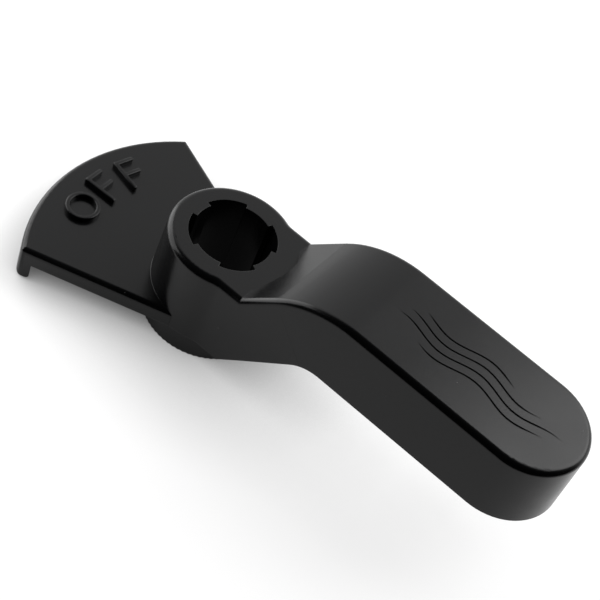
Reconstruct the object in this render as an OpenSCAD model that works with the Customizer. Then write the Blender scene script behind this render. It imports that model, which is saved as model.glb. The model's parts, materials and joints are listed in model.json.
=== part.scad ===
// Diverter valve handle, one moulding, in millimetres
// Origin: bore axis, at the level of the ring's tooth tips. +X runs to the tip of the grip.

/* [Hub] */
// Height of the hub's flat top above the tooth tips
hub_h = 35.1; // [32:0.1:40]
// Diameter of the hub where it meets the toothed ring
hub_d = 41.5; // [40.5:0.1:46]
// Draft of the hub's wall, in degrees
hub_draft = 1.3; // [0.5:0.1:2]
// Radius of the rounded rim of the hub
hub_round = 2.2; // [0.5:0.1:2.4]

/* [Socket] */
// Diameter between the bottoms of the slots
slot_d = 28; // [26:0.1:30]
// Diameter between the tips of the keys
key_d = 24.8; // [22:0.1:25.5]
// Angle that each of the three wide keys fills
key_span = 43; // [30:1:55]
// Angle that the narrow index key fills
index_span = 30; // [20:1:40]
// Diameter of the plain bore that centres the handle on the valve's neck
neck_d = 33; // [31:0.1:35]
// Depth of the plain bore
neck_depth = 6; // [3:0.5:8]

/* [Toothed ring] */
// Outer diameter of the ring at the tooth tips
ring_d = 42; // [39:0.1:42]
// Height of the ring below the rest of the moulding
ring_h = 7; // [6.5:0.1:9]
// Draft of the ring's wall, in degrees
ring_draft = 3; // [0:0.1:4]
// Number of face teeth
tooth_count = 72; // [36:4:96]
// Height of a tooth at the outside of the ring
tooth_h = 0.35; // [0.3:0.05:1.5]

/* [Sector plate] */
// Radius of the plate's arc
plate_r = 60.6; // [54:0.1:68]
// Height of the plate's top above the tooth tips
plate_top = 12.65; // [11:0.05:16]
// Distance of each straight edge from the hub's axis
plate_side = 19.5; // [16:0.1:20]
// Angle of each straight edge to the lever's centre line
plate_angle = 21.3; // [12:0.1:30]
// Radius of the plate's rounded top edge
plate_round = 1.8; // [0.5:0.1:1.9]
// Radius of the plate's two outer corners
plate_corner = 2.4; // [2:0.1:4]
// Thickness of the plate's skin
plate_skin = 3; // [2:0.1:4]
// Thickness of the plate's side walls
plate_wall = 3; // [2:0.1:4]
// Gap between the arc's foot and the level of the tooth tips
skirt_gap = 0.9; // [0.5:0.1:3]
// Thickness of the turned-down arc
skirt_t = 4; // [3:0.1:5]
// Radius of the rounded foot of the arc
skirt_round = 1.45; // [0.4:0.05:1.45]

/* [Lever] */
// Height of the grip's flat top above the tooth tips
grip_top = 55.8; // [50:0.1:62]
// Depth of the grip
grip_depth = 24; // [18:0.1:26]
// Distance from the hub's axis to the tip, at the top of its wall
lever_reach = 122.3; // [105:0.1:135]
// Width across the lever's side walls, at their top
lever_w = 36.4; // [33:0.1:36.6]
// Draft of the lever's side walls, in degrees
lever_draft = 1.25; // [0.5:0.05:2]
// Radius of the lever's rounded top edge
lever_round = 2; // [0.8:0.1:2.4]
// Distance from the hub's axis to the foot of the ramp
ramp_foot = 17.4; // [16.8:0.1:18.5]
// Slope of the ramp, in degrees
ramp_angle = 45; // [40:1:50]
// Depth of the ramp at its foot, square to its slope
ramp_depth = 20.3; // [17:0.1:22]
// Slope of the ramp's underside, in degrees
under_angle = 43.5; // [40:0.5:47]
// Radius of the bend between ramp and grip, on top
bend_r = 36; // [32:0.5:40]
// Radius of the bend between ramp and grip, underneath
under_r = 14; // [6:0.5:16]
// Clearance round the hub's flat top where it is sunk into the ramp
seat_gap = 1; // [0.2:0.1:1.4]
// Radius of the hollow corner between hub and lever
corner_r = 12; // [6:0.5:16]

/* [Underside] */
// Thickness of the lever's walls
lever_wall = 3; // [2:0.1:4]
// Thickness of the ribs
rib_t = 2.4; // [1.6:0.1:3]
// Number of cross ribs inside the lever
rib_count = 4; // [2:1:6]
// How far the ribs stay back from the rim of the hollow
rib_back = 2; // [1:0.1:4]

/* [Hidden] */
$fn = 96;
fine = 180;
over = 1;
black = "#1d1e20";
inner_round = 1;
// How far the ramp stands proud of its neighbours, and how far it runs on over the bend
seam = 0.01;
seam_lap = 0.3;
// How far the round corner at the hub bites into hub and lever, and how deep it is rooted
corner_bite = 0.06;
corner_root = 4.5;
// Share of the full groove that the gap between two teeth takes, so that the tips stay flat
gap_share = 0.96;
hub_wall_h = hub_h - ring_h;
hub_top_r = hub_d / 2 - hub_wall_h * tan(hub_draft);
seat_r = hub_top_r + seat_gap;
tip_x = lever_reach - lever_w / 2;
grip_under = grip_top - grip_depth;
skirt_depth = plate_top - skirt_gap;
plate_depth = plate_top - ring_h;
sweep_depth = max(grip_depth, ramp_depth) + over;

// Centre of the bend on top, where an arc touches both the ramp and the grip
bend_z = grip_top - bend_r;
bend_rise = bend_z + bend_r * cos(ramp_angle) - hub_h;
bend_x = ramp_foot + bend_r * sin(ramp_angle) + bend_rise / tan(ramp_angle);

// Underneath, the lower line of the ramp
drop = ramp_depth / cos(ramp_angle);
function under_line_x(z) = ramp_foot + (z - hub_h + drop) / tan(under_angle);

// Outer corner of the sector plate: square to its straight edge, along that edge, and the
// centre of the corner's rounding
corner_off = plate_side - plate_corner;
corner_along = sqrt(pow(plate_r - plate_corner, 2) - pow(corner_off, 2));
edge_normal = [sin(plate_angle), cos(plate_angle)];
edge_line = [-cos(plate_angle), sin(plate_angle)];
corner_centre = corner_off * edge_normal + corner_along * edge_line;

// Hollow corner between the hub and the lever's side
hollow_y = lever_w / 2 + corner_r - corner_bite;
hollow_x = sqrt(pow(hub_top_r + corner_r - corner_bite, 2) - pow(hollow_y, 2));

// Places the profile's X across the lever and its Y upwards, and runs the extrusion along +X
module along_x(length) {
    rotate([90, 0, 90]) linear_extrude(length) children();
}

// Turns a side view, drawn in X and Z, into a solid across the lever
module across(width) {
    rotate([90, 0, 0]) linear_extrude(width, center = true) children();
}

// Direction from one point to another, with a length of 1
function toward(from, to) = (to - from) / norm(to - from);

// What is cut off a corner of an outline to round it
module corner_waste(before, corner, after, r) {
    side_a = toward(corner, before);
    side_b = toward(corner, after);
    half = acos(side_a * side_b) / 2;
    inward = toward([0, 0], side_a + side_b);
    centre = corner + inward * r / sin(half);
    square_a = corner + side_a * r / tan(half) - centre;
    square_b = corner + side_b * r / tan(half) - centre;
    difference() {
        polygon([centre, centre + square_a * 2, corner - inward * r, centre + square_b * 2]);
        translate(centre) circle(r);
    }
}

// Outline through the points, where a radius above 0 rounds the corner at that point
module outline(points, radii) {
    count = len(points);
    difference() {
        polygon(points);
        for (i = [0:count - 1]) if (radii[i] > 0)
            corner_waste(points[(i + count - 1) % count], points[i], points[(i + 1) % count], radii[i]);
    }
}

// Section of the lever below the line y = 0, with rounded upper corners and drafted walls.
// The half width is that of a wall at the depth of its rounding's radius.
module lever_section(half_w, round_r, depth, draft, half = false) {
    top_x = half_w - round_r * tan(draft);
    foot_x = top_x + depth * tan(draft);
    if (half)
        outline([[0, 0], [top_x, 0], [foot_x, -depth], [0, -depth]], [0, round_r, 0, 0]);
    else
        outline([[-top_x, 0], [top_x, 0], [foot_x, -depth], [-foot_x, -depth]],
                [round_r, round_r, 0, 0]);
}

// Side view of the lever's foot, left of the plane in which it meets the ramp
module foot_profile() {
    lean = tan(ramp_angle / 2);
    polygon([[-hub_d, -over], [-hub_d, hub_h + over], [ramp_foot - lean * over, hub_h + over],
             [ramp_foot + lean * (hub_h + over), -over]]);
}

// Lever with its skin moved inwards by inset: foot, ramp, bend, grip and tip
module lever_form(inset, draft, depth) {
    half_w = lever_w / 2 - inset;
    round_r = inset > 0 ? inner_round : lever_round;

    // Foot, level with the hub's top, which meets the ramp in a mitre
    intersection() {
        translate([0, 0, hub_h - inset])
            along_x(grip_under) lever_section(half_w, round_r, hub_h, draft);
        across(hub_d * 2) foot_profile();
    }

    // Ramp, a hair proud of its neighbours, which it overlaps
    translate([bend_x, 0, bend_z]) rotate([0, -ramp_angle, 0])
        translate([-hub_d, 0, bend_r - inset + seam])
            along_x(hub_d + seam_lap) lever_section(half_w + seam, round_r, depth, draft);

    // Bend
    translate([bend_x, 0, bend_z]) rotate([90, 0, 0]) rotate([0, 0, 90])
        rotate_extrude(angle = ramp_angle, $fn = fine)
            translate([bend_r - inset, 0]) rotate(-90) mirror([0, 1])
                rotate(180) lever_section(half_w, round_r, depth, draft);

    // Grip
    translate([bend_x, 0, grip_top - inset])
        along_x(tip_x - bend_x) lever_section(half_w, round_r, depth, draft);

    // Tip
    translate([tip_x, 0, grip_top - inset]) rotate([0, 0, -90])
        rotate_extrude(angle = 180)
            lever_section(half_w, round_r, depth, draft, half = true);
}

// Side view of everything below the lever, raised by lift
module under_profile(lift) {
    left_x = -hub_d;
    right_x = lever_reach + hub_d;
    low = -hub_d;
    translate([0, lift])
        outline([[left_x, low], [left_x, ring_h], [under_line_x(ring_h), ring_h],
                 [under_line_x(grip_under), grip_under], [right_x, grip_under], [right_x, low]],
                [0, 0, 0, under_r, 0, 0]);
}

// Solid of the lever, cut off along its underside
module lever_body() {
    difference() {
        lever_form(0, lever_draft, sweep_depth);
        across(hub_d * 2) under_profile(0);
    }
}

// Hollow of the lever, open downwards, with the ribs left standing
module lever_hollow() {
    rib_pitch = (tip_x - ramp_foot * 2) / (rib_count - 1);
    difference() {
        lever_form(lever_wall, lever_draft, sweep_depth);
        translate([0, 0, -over]) cylinder(h = hub_h * 2, r = hub_d / 2);
        difference() {
            for (i = [0:rib_count - 1])
                translate([ramp_foot * 2 + i * rib_pitch - rib_t / 2, -hub_d, 0])
                    cube([rib_t, hub_d * 2, grip_top]);
            across(hub_d * 3) under_profile(rib_back);
        }
    }
}

// Wall of the hub, with its rounded rim
module hub_body() {
    translate([0, 0, ring_h]) rotate_extrude()
        outline([[0, 0], [hub_d / 2, 0], [hub_top_r, hub_wall_h], [0, hub_wall_h]],
                [0, 0, hub_round, 0]);
}

// Fills the hollow corner between hub and lever with a round one
module corner_fill() {
    angle = atan2(hollow_x, hollow_y);
    inside_r = corner_r + corner_root;
    root_r = corner_r - hub_wall_h * tan(hub_draft);
    for (side = [0, 1]) mirror([0, side, 0])
        translate([hollow_x, hollow_y, ring_h]) rotate([0, 0, -90 - angle])
            rotate_extrude(angle = angle)
                outline([[root_r, 0], [corner_r, hub_wall_h], [inside_r, hub_wall_h], [inside_r, 0]],
                        [0, hub_round, 0, 0]);
}

// Ring under the hub, narrower than the hub's wall at its root
module ring_body() {
    root_r = ring_d / 2 - ring_h * tan(ring_draft);
    cylinder(h = ring_h, r1 = ring_d / 2, r2 = root_r);
}

// Gaps between the face teeth: V grooves that taper to nothing at the middle of the ring
module tooth_gaps() {
    reach = ring_d;
    half_w = reach * sin(180 / tooth_count) * gap_share;
    deep = reach * tooth_h / (ring_d / 2);
    for (i = [0:tooth_count - 1]) rotate([0, 0, (i + 0.5) * 360 / tooth_count])
        polyhedron(
            points = [[0, 0, 0], [reach, -half_w, 0], [reach, half_w, 0], [reach, 0, deep]],
            faces = [[0, 1, 2], [0, 3, 1], [0, 2, 3], [1, 3, 2]]);
}

// Wedge between two directions, wider than the socket
module slot_sector(from, to) {
    reach = slot_d;
    middle = (from + to) / 2;
    polygon([[0, 0], [reach * cos(from), reach * sin(from)],
             [reach * cos(middle), reach * sin(middle)], [reach * cos(to), reach * sin(to)]]);
}

// Plan of the socket: the four slots between three wide keys and the index key
module socket_plan() {
    wide = key_span / 2;
    index = index_span / 2;
    union() {
        circle(d = key_d);
        intersection() {
            circle(d = slot_d);
            union() {
                slot_sector(wide, 90 - wide);
                slot_sector(90 + wide, 180 - index);
                slot_sector(180 + index, 270 - wide);
                slot_sector(270 + wide, 360 - wide);
            }
        }
    }
}

// Everything that is cut through the hub
module socket() {
    translate([0, 0, neck_depth - over]) linear_extrude(hub_h) socket_plan();
    translate([0, 0, -over]) cylinder(h = neck_depth + over, d = neck_d);
}

// Half plane on the inner side of one straight edge of the plate, moved inwards by inset
module side_strip(inset, round_r, depth) {
    long = plate_r * 2;
    edge = plate_side - inset;
    rotate([0, 0, -plate_angle]) translate([-long, 0, 0]) along_x(long * 2)
        outline([[-long, 0], [edge, 0], [edge, -depth], [-long, -depth]], [0, round_r, 0, 0]);
}

// Half section of the plate with its turned-down arc, as a full disc
module plate_section() {
    inner = plate_r - skirt_t;
    outline([[0, 0], [plate_r, 0], [plate_r, -skirt_depth], [inner, -skirt_depth],
             [inner, -plate_depth], [0, -plate_depth]],
            [0, plate_round, skirt_round, skirt_round, 0, 0]);
}

// Plan of what the rounding takes off an outer corner of the plate
module plate_corner_waste() {
    outward = toward([0, 0], corner_centre);
    reach = plate_corner * 2;
    difference() {
        polygon([corner_centre, corner_centre + outward * reach,
                 corner_centre + (outward + edge_normal) * reach,
                 corner_centre + edge_normal * reach]);
        translate(corner_centre) circle(plate_corner);
    }
}

// Sector plate
module plate_body() {
    translate([0, 0, plate_top]) difference() {
        intersection() {
            rotate_extrude($fn = fine) plate_section();
            side_strip(0, plate_round, skirt_depth + over);
            mirror([0, 1, 0]) side_strip(0, plate_round, skirt_depth + over);
            translate([-plate_r - over, -plate_r, -skirt_depth - over])
                cube([plate_r + over, plate_r * 2, skirt_depth + 2 * over]);
        }
        for (side = [0, 1]) mirror([0, side, 0])
            translate([0, 0, -skirt_depth - over])
                linear_extrude(skirt_depth + 2 * over) plate_corner_waste();
    }
}

// Hollow under the plate's skin, with two ribs left standing
module plate_hollow() {
    translate([0, 0, plate_top - plate_skin]) difference() {
        intersection() {
            translate([0, 0, -plate_top]) cylinder(h = plate_top, r = plate_r - skirt_t, $fn = fine);
            side_strip(plate_wall, inner_round, plate_top);
            mirror([0, 1, 0]) side_strip(plate_wall, inner_round, plate_top);
            translate([-plate_r, -plate_r, -plate_top]) cube([plate_r, plate_r * 2, plate_top]);
        }
        translate([0, 0, -plate_top - over]) cylinder(h = plate_top * 2, r = hub_d / 2);
        for (side = [-1, 1]) rotate([0, 0, side * plate_angle / 2])
            translate([-plate_r, -rib_t / 2, -plate_depth + plate_skin])
                cube([plate_r, rib_t, plate_depth]);
    }
}

module handle() {
    color(black) difference() {
        union() {
            hub_body();
            corner_fill();
            ring_body();
            difference() {
                lever_body();
                lever_hollow();
                translate([0, 0, hub_h]) cylinder(h = hub_h, r = seat_r);
            }
            difference() {
                plate_body();
                plate_hollow();
            }
        }
        socket();
        tooth_gaps();
    }
}

handle();
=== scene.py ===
"""Diverter valve handle: one satin black moulding with a raised word and pressed wave lines.

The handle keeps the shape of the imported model. A copy of it gets the wave lines cut into
the top of the grip, and the letters stand on the sector plate. All lengths are in metres.
"""

from __future__ import annotations

import json
import logging
import math
from collections.abc import Callable
from dataclasses import dataclass, field
from enum import Enum

import bpy
from mathutils import Matrix, Vector

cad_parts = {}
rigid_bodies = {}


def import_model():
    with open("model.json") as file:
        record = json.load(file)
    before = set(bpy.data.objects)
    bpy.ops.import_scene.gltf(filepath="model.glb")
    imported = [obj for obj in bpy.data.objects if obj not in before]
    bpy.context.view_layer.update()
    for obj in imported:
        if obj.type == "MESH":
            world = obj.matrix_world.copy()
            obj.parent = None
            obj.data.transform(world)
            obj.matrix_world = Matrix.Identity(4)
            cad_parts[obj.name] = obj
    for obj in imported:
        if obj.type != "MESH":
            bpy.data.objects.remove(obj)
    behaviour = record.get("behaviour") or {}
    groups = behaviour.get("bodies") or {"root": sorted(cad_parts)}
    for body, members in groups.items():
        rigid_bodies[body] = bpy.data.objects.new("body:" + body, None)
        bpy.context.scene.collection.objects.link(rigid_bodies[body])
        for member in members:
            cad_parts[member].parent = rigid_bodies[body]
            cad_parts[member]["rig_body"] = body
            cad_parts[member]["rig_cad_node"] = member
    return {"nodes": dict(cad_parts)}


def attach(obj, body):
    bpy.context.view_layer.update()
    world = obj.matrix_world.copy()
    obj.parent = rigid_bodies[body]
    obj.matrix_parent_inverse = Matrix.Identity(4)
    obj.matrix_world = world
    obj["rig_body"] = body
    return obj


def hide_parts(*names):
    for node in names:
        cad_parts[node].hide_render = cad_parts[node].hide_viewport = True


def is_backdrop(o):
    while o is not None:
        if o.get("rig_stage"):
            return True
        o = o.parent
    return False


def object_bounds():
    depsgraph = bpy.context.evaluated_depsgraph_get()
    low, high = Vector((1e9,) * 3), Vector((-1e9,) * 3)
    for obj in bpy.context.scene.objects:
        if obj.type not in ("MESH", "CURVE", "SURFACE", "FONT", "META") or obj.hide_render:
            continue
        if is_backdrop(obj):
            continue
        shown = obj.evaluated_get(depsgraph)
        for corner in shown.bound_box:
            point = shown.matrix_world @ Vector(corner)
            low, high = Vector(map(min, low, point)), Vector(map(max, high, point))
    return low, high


MM = 0.001
BODY = "root"
NODE = "handle"
FACING = 0.9  # a face looks along an axis when its normal's share on it is above this

log = logging.getLogger("handle")


class Side(Enum):
    """Which way a bar of a letter points from its stem."""

    RIGHT = 1
    LEFT = -1


def deselect_all() -> None:
    """Leave nothing selected, in object mode."""
    if bpy.context.object is not None and bpy.context.object.mode != "OBJECT":
        bpy.ops.object.mode_set(mode="OBJECT")
    bpy.ops.object.select_all(action="DESELECT")


def activate(piece: bpy.types.Object) -> None:
    """Make one object the only selected one and the active one.

    Args:
        piece: The object that the next operators act on.
    """
    deselect_all()
    piece.select_set(True)
    bpy.context.view_layer.objects.active = piece


def edit(piece: bpy.types.Object, mode: str = "FACE") -> None:
    """Open one mesh in edit mode, with nothing selected.

    Args:
        piece: The mesh object.
        mode: What is selected: VERT, EDGE or FACE.
    """
    activate(piece)
    bpy.ops.object.mode_set(mode="EDIT")
    bpy.ops.mesh.select_mode(type=mode)
    bpy.ops.mesh.select_all(action="DESELECT")


def pick_faces(piece: bpy.types.Object, wanted: Callable[[Vector, Vector], bool]) -> None:
    """Select only certain faces in code, by their place and normal.

    Args:
        piece: The mesh object, in edit mode.
        wanted: A test that takes a face's centre and its normal.
    """
    bpy.ops.mesh.select_all(action="DESELECT")
    bpy.ops.object.mode_set(mode="OBJECT")
    for face in piece.data.polygons:
        face.select = bool(wanted(face.center, face.normal))
    bpy.ops.object.mode_set(mode="EDIT")


def apply_modifier(piece: bpy.types.Object, kind: str, **settings) -> None:
    """Add a modifier, set it and apply it.

    Args:
        piece: The mesh object.
        kind: The modifier's type.
        settings: Its values by name.
    """
    activate(piece)
    modifier = piece.modifiers.new(kind.title(), kind)
    for name, value in settings.items():
        setattr(modifier, name, value)
    bpy.ops.object.modifier_apply(modifier=modifier.name)


def settle(piece: bpy.types.Object) -> None:
    """Move an object's place into its mesh and turn its faces outwards.

    Args:
        piece: The mesh object.
    """
    activate(piece)
    bpy.ops.object.transform_apply(location=True, rotation=True, scale=True)
    edit(piece)
    bpy.ops.mesh.select_all(action="SELECT")
    bpy.ops.mesh.normals_make_consistent(inside=False)
    bpy.ops.object.mode_set(mode="OBJECT")


@dataclass(frozen=True)
class SatinPlastic:
    """Finish of the moulding: nearly black plastic with a soft gloss.

    Roughness wanders a little over centimetres, the skin has a faint moulded texture, sharp
    edges carry the small radius that a mould leaves, and a few pale flecks lie on it.
    """

    name: str = "satin_black_plastic"
    colour: tuple[float, float, float] = (0.0021, 0.0022, 0.0024)
    fleck_colour: tuple[float, float, float] = (0.08, 0.08, 0.08)
    specular: float = 0.21
    rough_low: float = 0.20
    rough_high: float = 0.27
    patch_scale: float = 38.0
    patch_detail: float = 3.0
    patch_low: float = 0.3
    patch_high: float = 0.7
    skin_scale: float = 1500.0
    skin_detail: float = 2.0
    skin_depth: float = 0.012 * MM
    fleck_scale: float = 120.0
    fleck_radius: float = 0.013  # in cells of the fleck pattern, as is the fade round it
    fleck_fade: float = 0.026
    edge_radius: float = 0.28 * MM
    edge_samples: int = 8

    def make(self) -> bpy.types.Material:
        """Build the node tree.

        Returns:
            The material.
        """
        material = bpy.data.materials.new(self.name)
        material.use_nodes = True
        nodes, links = material.node_tree.nodes, material.node_tree.links
        shader = nodes["Principled BSDF"]
        shader.inputs["Specular IOR Level"].default_value = self.specular
        place = nodes.new("ShaderNodeTexCoord").outputs["Object"]

        patches = nodes.new("ShaderNodeTexNoise")
        patches.inputs["Scale"].default_value = self.patch_scale
        patches.inputs["Detail"].default_value = self.patch_detail
        links.new(place, patches.inputs["Vector"])
        rough = nodes.new("ShaderNodeMapRange")
        rough.inputs["From Min"].default_value = self.patch_low
        rough.inputs["From Max"].default_value = self.patch_high
        rough.inputs["To Min"].default_value = self.rough_low
        rough.inputs["To Max"].default_value = self.rough_high
        links.new(patches.outputs["Fac"], rough.inputs["Value"])
        links.new(rough.outputs["Result"], shader.inputs["Roughness"])

        cells = nodes.new("ShaderNodeTexVoronoi")
        cells.inputs["Scale"].default_value = self.fleck_scale
        links.new(place, cells.inputs["Vector"])
        fleck = nodes.new("ShaderNodeMapRange")
        fleck.inputs["From Min"].default_value = self.fleck_radius
        fleck.inputs["From Max"].default_value = self.fleck_fade
        fleck.inputs["To Min"].default_value = 1.0
        fleck.inputs["To Max"].default_value = 0.0
        links.new(cells.outputs["Distance"], fleck.inputs["Value"])
        tint = nodes.new("ShaderNodeMix")
        tint.data_type = "RGBA"
        tint.inputs["A"].default_value = (*self.colour, 1.0)
        tint.inputs["B"].default_value = (*self.fleck_colour, 1.0)
        links.new(fleck.outputs["Result"], tint.inputs["Factor"])
        links.new(tint.outputs["Result"], shader.inputs["Base Color"])

        edges = nodes.new("ShaderNodeBevel")
        edges.samples = self.edge_samples
        edges.inputs["Radius"].default_value = self.edge_radius
        skin = nodes.new("ShaderNodeTexNoise")
        skin.inputs["Scale"].default_value = self.skin_scale
        skin.inputs["Detail"].default_value = self.skin_detail
        links.new(place, skin.inputs["Vector"])
        bump = nodes.new("ShaderNodeBump")
        bump.inputs["Distance"].default_value = self.skin_depth
        links.new(skin.outputs["Fac"], bump.inputs["Height"])
        links.new(edges.outputs["Normal"], bump.inputs["Normal"])
        links.new(bump.outputs["Normal"], shader.inputs["Normal"])
        return material


@dataclass
class WaveLines:
    """Generic wave lines pressed into the top of the grip, side by side and never crossing.

    Each line is a row of rings on a sine, thin at both ends, and is cut out of the grip. The
    shares are the lines' lengths as shares of the longest one, and drift moves each line on
    along the grip from the one before.
    """

    top: float
    start: float = 52.0 * MM
    width: float = 0.56 * MM
    depth: float = 0.34 * MM
    length: float = 59.0 * MM
    wave: float = 27.0 * MM
    height: float = 1.5 * MM
    gap: float = 3.3 * MM
    drift: float = 3.0 * MM
    shares: tuple[float, ...] = (0.56, 0.82, 1.0, 0.74)
    thinnest: float = 0.12
    swell: float = 2.4
    steps: int = 84
    corners: int = 12

    def line_y(self, along: float, row: int) -> float:
        """Place of a line across the grip.

        Args:
            along: Distance from the start of the longest line.
            row: Which line, counted from 0.

        Returns:
            The distance from the grip's middle.
        """
        middle_row = (len(self.shares) - 1) / 2
        phase = 2 * math.pi * along / self.wave
        return self.height * math.sin(phase) + (middle_row - row) * self.gap

    def share_at(self, step: int) -> float:
        """Thickness of a line at a step.

        Args:
            step: Which ring, counted from 0 at the line's start.

        Returns:
            The thickness as a share of the full width.
        """
        turn = math.sin(math.pi * step / self.steps)
        return max(self.thinnest, min(1.0, self.swell * turn))

    def build_line(self, row: int) -> bpy.types.Object:
        """Sweep one cutter: a ring extruded step by step along the wave.

        Args:
            row: Which line, counted from 0.

        Returns:
            The closed cutter.
        """
        length = self.length * self.shares[row]
        lead = (self.length - length) / 2 + (row - 1) * self.drift
        pace = length / self.steps
        radius = self.width / 2
        share = self.share_at(0)
        level = self.top + radius - self.depth
        here = Vector((self.start + lead, self.line_y(lead, row), level))
        deselect_all()
        bpy.ops.mesh.primitive_circle_add(
            vertices=self.corners,
            radius=radius * share,
            fill_type="NGON",
            location=here,
            rotation=(0.0, math.pi / 2, 0.0),
        )
        cutter = bpy.context.object
        cutter.name = f"wave_cutter_{row}"
        bpy.ops.object.transform_apply(location=True, rotation=True, scale=True)
        edit(cutter)
        bpy.ops.mesh.select_all(action="SELECT")
        for step in range(1, self.steps + 1):
            along = lead + step * pace
            there = Vector((self.start + along, self.line_y(along, row), level))
            wider = self.share_at(step) / share
            share *= wider
            bpy.ops.mesh.extrude_region_move(
                TRANSFORM_OT_translate={"value": there - here}
            )
            bpy.ops.transform.resize(value=(wider, wider, wider), center_override=there)
            here = there
        bpy.ops.object.mode_set(mode="OBJECT")
        settle(cutter)
        return cutter

    def press_into(self, piece: bpy.types.Object) -> None:
        """Cut all the lines out of a piece.

        Args:
            piece: The copy of the moulding.
        """
        for row in range(len(self.shares)):
            cutter = self.build_line(row)
            apply_modifier(
                piece, "BOOLEAN", object=cutter, operation="DIFFERENCE", solver="EXACT"
            )
            bpy.data.objects.remove(cutter)


@dataclass
class Moulding:
    """The one moulded piece: hub, toothed ring, sector plate and lever."""

    source: bpy.types.Object
    waves: WaveLines
    finish: bpy.types.Material
    weld: float = 0.0005 * MM
    sliver: float = 0.003 * MM
    crease: float = math.radians(30.0)
    normal_weight: int = 80

    def build(self) -> bpy.types.Object:
        """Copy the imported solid, merge its triangles and press the wave lines into it.

        Returns:
            The dressed moulding.
        """
        activate(self.source)
        bpy.ops.object.duplicate(linked=False)
        piece = bpy.context.object
        piece.name = "moulding"
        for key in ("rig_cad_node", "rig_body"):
            if key in piece:
                del piece[key]
        piece.parent = None
        edit(piece, "VERT")
        bpy.ops.mesh.select_all(action="SELECT")
        bpy.ops.mesh.remove_doubles(threshold=self.weld)
        bpy.ops.mesh.dissolve_degenerate(threshold=self.sliver)
        bpy.ops.object.mode_set(mode="OBJECT")
        activate(piece)
        if piece.data.has_custom_normals:
            bpy.ops.mesh.customdata_custom_splitnormals_clear()
        self.waves.press_into(piece)
        self.dress(piece)
        return piece

    def dress(self, piece: bpy.types.Object) -> None:
        """Shade the piece and give it its finish.

        Args:
            piece: The moulding.
        """
        activate(piece)
        bpy.ops.object.shade_smooth_by_angle(angle=self.crease)
        apply_modifier(piece, "WEIGHTED_NORMAL", keep_sharp=True, weight=self.normal_weight)
        piece.data.materials.clear()
        piece.data.materials.append(self.finish)
        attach(piece, BODY)
        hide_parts(NODE)


@dataclass
class Letter:
    """A raised letter that stands on the sector plate, in its own upright frame."""

    finish: bpy.types.Material
    height: float = 12.1 * MM
    stroke: float = 1.4 * MM
    relief: float = 1.7 * MM
    root: float = 0.4 * MM
    softness: float = 0.28 * MM
    soft_steps: int = 3
    soft_from: float = math.radians(50.0)
    crease: float = math.radians(35.0)

    def place(
        self, piece: bpy.types.Object, turn: float, lean: float, reach: float, level: float
    ) -> None:
        """Turn the letter's top outwards, move it to its place and finish it.

        Args:
            piece: The letter, upright about the origin.
            turn: Angle of its place from the plate's middle line, in radians.
            lean: Angle between its stem and the line to the hub's axis, in radians.
            reach: Distance of the letter's middle from the hub's axis.
            level: Height of the plate's top.
        """
        apply_modifier(
            piece, "BEVEL", width=self.softness, segments=self.soft_steps,
            limit_method="ANGLE", angle_limit=self.soft_from,
        )
        quarter = math.pi / 2
        spin = Matrix.Rotation(quarter - turn - lean, 4, "Z")
        out = Vector((-math.cos(turn), math.sin(turn), 0.0)) * reach
        piece.matrix_world = Matrix.Translation(out + Vector((0, 0, level))) @ spin
        settle(piece)
        activate(piece)
        bpy.ops.object.shade_smooth_by_angle(angle=self.crease)
        piece.data.materials.clear()
        piece.data.materials.append(self.finish)
        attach(piece, BODY)


@dataclass
class LetterO(Letter):
    """The round letter: an oval ring."""

    height: float = 11.1 * MM
    width: float = 11.5 * MM
    corners: int = 72

    def build(self, name: str) -> bpy.types.Object:
        """Model the ring from a circle: oval, inset, opened and raised.

        Args:
            name: Name of the piece.

        Returns:
            The letter, upright about the origin.
        """
        deselect_all()
        bpy.ops.mesh.primitive_circle_add(
            vertices=self.corners, radius=self.height / 2, fill_type="NGON",
            location=(0.0, 0.0, -self.root),
        )
        piece = bpy.context.object
        piece.name = name
        piece.scale = (self.width / self.height, 1.0, 1.0)
        bpy.ops.object.transform_apply(location=True, rotation=True, scale=True)
        edit(piece)
        bpy.ops.mesh.select_all(action="SELECT")
        bpy.ops.mesh.inset(thickness=self.stroke, use_even_offset=True)
        bpy.ops.mesh.delete(type="FACE")
        bpy.ops.mesh.select_all(action="SELECT")
        bpy.ops.mesh.extrude_region_move(
            TRANSFORM_OT_translate={"value": (0.0, 0.0, self.root + self.relief)}
        )
        bpy.ops.object.mode_set(mode="OBJECT")
        settle(piece)
        return piece


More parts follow.
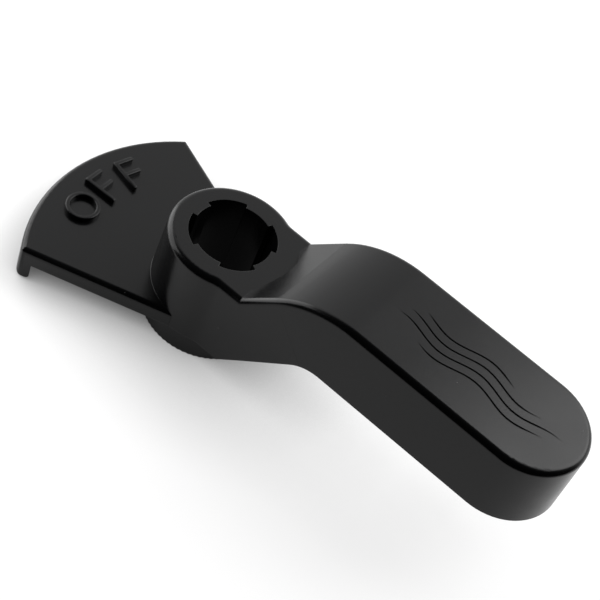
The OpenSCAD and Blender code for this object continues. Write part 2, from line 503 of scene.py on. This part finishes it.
@dataclass
class LetterF(Letter):
    """The letter with a stem and two bars that point to one side."""

    stem_left: float = -3.6 * MM
    bar_reach: float = 3.5 * MM
    low_bar_reach: float = 3.1 * MM
    low_bar_foot: float = -0.5 * MM
    side: Side = Side.RIGHT

    def build(self, name: str) -> bpy.types.Object:
        """Model the stem in blocks, one on the other, and pull the bars out of its side.

        Args:
            name: Name of the piece.

        Returns:
            The letter, upright about the origin.
        """
        thick = self.root + self.relief
        stem_right = self.stem_left + self.stroke
        foot, top = -self.height / 2, self.height / 2
        top_foot = top - self.stroke
        low_top = self.low_bar_foot + self.stroke
        deselect_all()
        bpy.ops.mesh.primitive_cube_add(
            size=1.0,
            location=(
                self.stem_left + self.stroke / 2,
                (foot + self.low_bar_foot) / 2,
                thick / 2 - self.root,
            ),
        )
        piece = bpy.context.object
        piece.name = name
        piece.scale = (self.stroke, self.low_bar_foot - foot, thick)
        bpy.ops.object.transform_apply(location=True, rotation=True, scale=True)
        edit(piece)
        pick_faces(piece, lambda centre, normal: normal.y > FACING)
        reached = self.low_bar_foot
        for level in (low_top, top_foot, top):
            bpy.ops.mesh.extrude_region_move(
                TRANSFORM_OT_translate={"value": (0.0, level - reached, 0.0)}
            )
            reached = level
        self.pull_bar(piece, top_foot, stem_right, self.bar_reach)
        self.pull_bar(piece, self.low_bar_foot, stem_right, self.low_bar_reach)
        bpy.ops.object.mode_set(mode="OBJECT")
        settle(piece)
        return piece

    def pull_bar(
        self, piece: bpy.types.Object, foot: float, start: float, reach: float
    ) -> None:
        """Extrude one bar out of the stem's side.

        Args:
            piece: The letter, in edit mode.
            foot: Height of the bar's lower edge.
            start: Where the stem's side is.
            reach: How far the bar goes from the letter's middle line.
        """
        sense = self.side.value

        def on_bar(centre: Vector, normal: Vector) -> bool:
            """Tell whether a face of the stem's side lies at the bar's height.

            Args:
                centre: The face's centre.
                normal: The face's normal.

            Returns:
                True for the face that the bar grows from.
            """
            return normal.x * sense > FACING and foot < centre.y < foot + self.stroke

        pick_faces(piece, on_bar)
        bpy.ops.mesh.extrude_region_move(
            TRANSFORM_OT_translate={"value": ((reach - start) * sense, 0.0, 0.0)}
        )


@dataclass
class OffWord:
    """The raised word OFF on an arc round the hub, with the letters' tops outwards.

    Turns and leans are in degrees, one for each letter.
    """

    finish: bpy.types.Material
    level: float = 12.65 * MM
    reach: float = 47.8 * MM
    turns: tuple[float, ...] = (-14.6, 0.5, 13.8)
    leans: tuple[float, ...] = (0.0, -2.5, -0.8)

    def build(self) -> list[bpy.types.Object]:
        """Build the three letters and stand them on the plate.

        Returns:
            The letters.
        """
        made = []
        letters = (LetterO(self.finish), LetterF(self.finish), LetterF(self.finish))
        for number, letter in enumerate(letters):
            piece = letter.build(f"off_letter_{number + 1}")
            turn, lean = math.radians(self.turns[number]), math.radians(self.leans[number])
            letter.place(piece, turn, lean, self.reach, self.level)
            made.append(piece)
        return made


@dataclass(frozen=True)
class SoftBox:
    """A square soft light that faces the handle."""

    name: str
    toward: tuple[float, float, float]
    distance: float
    size: float
    radiance: float

    def build(self, aim: Vector) -> bpy.types.Object:
        """Hang the light.

        Args:
            aim: The point that it faces.

        Returns:
            The light.
        """
        lamp = bpy.data.lights.new(self.name, "AREA")
        lamp.shape = "SQUARE"
        lamp.size = self.size
        lamp.energy = self.radiance * math.pi * self.size**2
        holder = bpy.data.objects.new(self.name, lamp)
        bpy.context.scene.collection.objects.link(holder)
        way = Vector(self.toward).normalized()
        holder.location = aim + way * self.distance
        holder.rotation_euler = way.to_track_quat("Z", "Y").to_euler()
        holder.visible_camera = False
        return holder


@dataclass
class Studio:
    """Pale floor, soft lights, surroundings and the camera.

    The wall of light lies along back_way, and fades in between the two shares of it that
    back_start and back_full give. It fades out upwards between ceiling_start and
    ceiling_full, which are heights on a globe of radius 1.
    """

    aim: Vector
    floor_level: float
    floor_middle: tuple[float, float] = (0.03, 0.12)
    floor_radius: float = 0.26
    floor_corners: int = 96
    floor_tone: float = 0.85  # for the light that it throws back on the handle
    floor_shown_tone: float = 0.30  # for camera, mirrors and glass, with the glow on top
    floor_glow: float = 0.80
    # reach of the painted contact shadow: ambient occlusion dims the floor's glow within it
    painted_shadow_reach: float = 0.04
    back_light: float = 1.28
    ceiling: float = 0.015
    back_way: tuple[float, float, float] = (-0.34, 0.94, 0.0)
    back_start: float = 0.10
    back_full: float = 0.42
    ceiling_start: float = 0.80
    ceiling_full: float = 0.94
    camera_place: tuple[float, float, float] = (0.12671, -0.28208, 0.35949)
    camera_azimuth: float = math.radians(19.2875)
    camera_elevation: float = math.radians(47.6655)
    camera_roll: float = math.radians(25.0503)
    focal_pixels: float = 1485.63
    picture_pixels: float = 600.0
    sensor: float = 36.0
    near_clip: float = 0.01
    boxes: tuple[SoftBox, ...] = field(
        default=(
            SoftBox("back_box", (0.34, 0.62, 0.72), 0.9, 0.62, 4.5),
            SoftBox("left_box", (-0.97, -0.10, 0.20), 0.25, 0.26, 3.3),
        )
    )

    def build(self) -> None:
        """Build everything round the handle."""
        self.build_floor()
        self.build_world()
        for box in self.boxes:
            box.build(self.aim)
        self.build_camera()
        bpy.context.scene.view_settings.view_transform = "Standard"

    def floor_finish(self) -> bpy.types.Material:
        """Make the floor's finish: a white sheet that keeps the handle's shadow.

        For the camera, mirrors and glass, most of its white is its own glow, which ambient
        occlusion fades where the handle stands close: a painted contact shadow.
        The rest, and all that lights the handle, comes from the lamps, whose shadows on it are
        real.

        Returns:
            The material.
        """
        material = bpy.data.materials.new("white_sheet")
        material.use_nodes = True
        nodes, links = material.node_tree.nodes, material.node_tree.links
        nodes.remove(nodes["Principled BSDF"])

        rays = nodes.new("ShaderNodeLightPath")
        shown = rays.outputs["Is Camera Ray"]
        for kind in ("Is Glossy Ray", "Is Transmission Ray"):
            either = nodes.new("ShaderNodeMath")
            either.operation = "MAXIMUM"
            links.new(shown, either.inputs[0])
            links.new(rays.outputs[kind], either.inputs[1])
            shown = either.outputs["Value"]

        tone = nodes.new("ShaderNodeMapRange")
        tone.inputs["To Min"].default_value = self.floor_tone
        tone.inputs["To Max"].default_value = self.floor_shown_tone
        links.new(shown, tone.inputs["Value"])
        sheet = nodes.new("ShaderNodeBsdfDiffuse")
        links.new(tone.outputs["Result"], sheet.inputs["Color"])

        # painted contact shadow: ambient occlusion darkens the floor's glow near the handle
        painted_shadow = nodes.new("ShaderNodeAmbientOcclusion")
        painted_shadow.inputs["Distance"].default_value = self.painted_shadow_reach
        level = nodes.new("ShaderNodeMapRange")
        level.inputs["To Max"].default_value = self.floor_glow
        links.new(shown, level.inputs["Value"])
        strength = nodes.new("ShaderNodeMath")
        strength.operation = "MULTIPLY"
        links.new(painted_shadow.outputs["AO"], strength.inputs[0])
        links.new(level.outputs["Result"], strength.inputs[1])
        glow = nodes.new("ShaderNodeEmission")
        links.new(strength.outputs["Value"], glow.inputs["Strength"])

        sheet_and_glow = nodes.new("ShaderNodeAddShader")
        links.new(sheet.outputs["BSDF"], sheet_and_glow.inputs[0])
        links.new(glow.outputs["Emission"], sheet_and_glow.inputs[1])
        links.new(sheet_and_glow.outputs["Shader"], nodes["Material Output"].inputs["Surface"])
        return material

    def build_floor(self) -> None:
        """Lay a round white sheet under the handle, which reaches past the picture's edges."""
        deselect_all()
        bpy.ops.mesh.primitive_circle_add(
            vertices=self.floor_corners,
            radius=self.floor_radius,
            fill_type="NGON",
            location=(*self.floor_middle, self.floor_level),
        )
        floor = bpy.context.object
        floor.name = "floor"
        floor.data.materials.append(self.floor_finish())
        floor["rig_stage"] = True

    def ramp(
        self, tree: bpy.types.NodeTree, source: bpy.types.NodeSocket, start: float, end: float
    ) -> bpy.types.NodeSocket:
        """Add a smooth step from 0 at start to 1 at end.

        Args:
            tree: The node tree.
            source: The value that steps.
            start: Where the step begins.
            end: Where it ends, which may lie below start.

        Returns:
            The step's output.
        """
        step = tree.nodes.new("ShaderNodeMapRange")
        step.interpolation_type = "SMOOTHSTEP"
        falls = end < start
        step.inputs["From Min"].default_value = min(start, end)
        step.inputs["From Max"].default_value = max(start, end)
        step.inputs["To Min"].default_value = float(falls)
        step.inputs["To Max"].default_value = float(not falls)
        tree.links.new(source, step.inputs["Value"])
        return step.outputs["Result"]

    def build_world(self) -> None:
        """Surround the scene with a pale wall at the back and left, under a dark ceiling."""
        world = bpy.data.worlds.new("studio")
        bpy.context.scene.world = world
        world.use_nodes = True
        tree = world.node_tree
        nodes, links = tree.nodes, tree.links
        way = nodes.new("ShaderNodeTexCoord").outputs["Generated"]
        split = nodes.new("ShaderNodeSeparateXYZ")
        links.new(way, split.inputs[0])
        behind = nodes.new("ShaderNodeVectorMath")
        behind.operation = "DOT_PRODUCT"
        behind.inputs[1].default_value = self.back_way
        links.new(way, behind.inputs[0])

        wall = self.ramp(tree, behind.outputs["Value"], self.back_start, self.back_full)
        low = self.ramp(tree, split.outputs["Z"], self.ceiling_full, self.ceiling_start)
        both = nodes.new("ShaderNodeMath")
        both.operation = "MULTIPLY"
        links.new(wall, both.inputs[0])
        links.new(low, both.inputs[1])
        light = nodes.new("ShaderNodeMapRange")
        light.inputs["To Min"].default_value = self.ceiling
        light.inputs["To Max"].default_value = self.back_light
        links.new(both.outputs["Value"], light.inputs["Value"])
        links.new(light.outputs["Result"], nodes["Background"].inputs["Color"])

    def build_camera(self) -> None:
        """Stand the camera where the photograph was taken from."""
        lens = bpy.data.cameras.new("camera")
        lens.sensor_width = self.sensor
        lens.lens = self.focal_pixels * self.sensor / self.picture_pixels
        lens.clip_start = self.near_clip
        camera = bpy.data.objects.new("camera", lens)
        bpy.context.scene.collection.objects.link(camera)
        tilt = Matrix.Rotation(math.pi / 2 - self.camera_elevation, 4, "X")
        turn = Matrix.Rotation(self.camera_azimuth, 4, "Z")
        roll = Matrix.Rotation(self.camera_roll, 4, "Z")
        camera.matrix_world = Matrix.Translation(self.camera_place) @ turn @ tilt @ roll
        bpy.context.scene.camera = camera


def main() -> None:
    """Dress the handle, light it and set the camera."""
    logging.basicConfig(level=logging.INFO, format="%(name)s: %(message)s")
    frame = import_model()
    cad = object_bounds()
    low, high = cad
    finish = SatinPlastic().make()

    moulding = Moulding(frame["nodes"][NODE], WaveLines(top=high.z), finish).build()
    log.info("%s: %d faces", moulding.name, len(moulding.data.polygons))

    for letter in OffWord(finish).build():
        log.info("%s: %d faces", letter.name, len(letter.data.polygons))

    Studio(aim=(low + high) / 2, floor_level=low.z).build()


if __name__ == "__main__":
    main()
